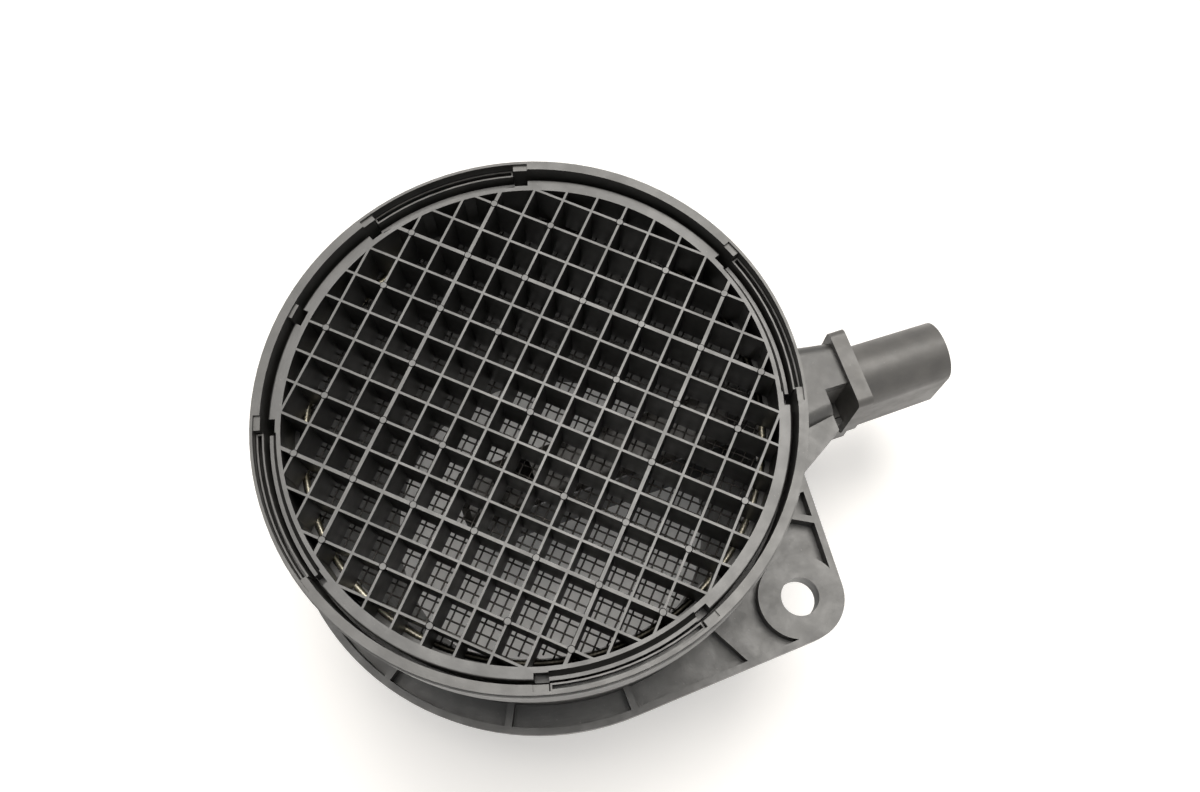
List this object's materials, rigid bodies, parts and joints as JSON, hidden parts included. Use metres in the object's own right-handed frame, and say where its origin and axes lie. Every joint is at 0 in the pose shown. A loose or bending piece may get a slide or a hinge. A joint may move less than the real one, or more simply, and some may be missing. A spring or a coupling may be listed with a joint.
{
  "type": "mass airflow sensor",
  "caption": "Round flow tube with an inlet grid and wire screen, a two-ear flange, a hose spigot and a plug-in hot-film sensing module with its connector.",
  "frame": {"origin": "centre of the outlet end face, on the flow tube's axis", "axes": "+Z along the flow tube from the outlet to the inlet grid; +X through the nearer of the flange's two ears; the module leaves the tube midway between +X and +Y"},
  "size_m": [0.1202, 0.1082, 0.084],
  "materials": {
    "housing_plastic": "fine satin, glass-filled nylon",
    "grid_plastic": "satin, moulded",
    "ring_steel": "rolled stainless sheet",
    "mesh_steel": "fine woven stainless wire",
    "module_plastic": "satin, moulded",
    "seal_rubber": "soft silicone",
    "cover_plastic": "satin, moulded",
    "base_aluminium": "bare sheet",
    "board_ceramic": "matt substrate",
    "chip_epoxy": "moulded",
    "capacitor_ceramic": "satin",
    "carrier_ceramic": "matt",
    "film_glaze": "glazed",
    "lead_steel": "tinned wire",
    "thermistor_epoxy": "dipped",
    "pin_brass": "tinned blades"
  },
  "bodies": {
    "root": {"housing": "housing_plastic", "flow_grid": "grid_plastic", "screen_ring": "ring_steel", "screen_mesh": "mesh_steel", "module_body": "module_plastic", "module_seal": "seal_rubber", "electronics_cover": "cover_plastic", "channel_cover": "cover_plastic", "base_plate": "base_aluminium", "circuit_board": "board_ceramic", "controller_chip": "chip_epoxy", "chip_capacitors": "capacitor_ceramic", "film_carrier": "carrier_ceramic", "hot_film_element": "film_glaze", "thermistor_leads": "lead_steel", "air_thermistor": "thermistor_epoxy", "contact_pin_1": "pin_brass", "contact_pin_2": "pin_brass", "contact_pin_3": "pin_brass", "contact_pin_4": "pin_brass", "contact_pin_5": "pin_brass"}
  },
  "joints": []
}
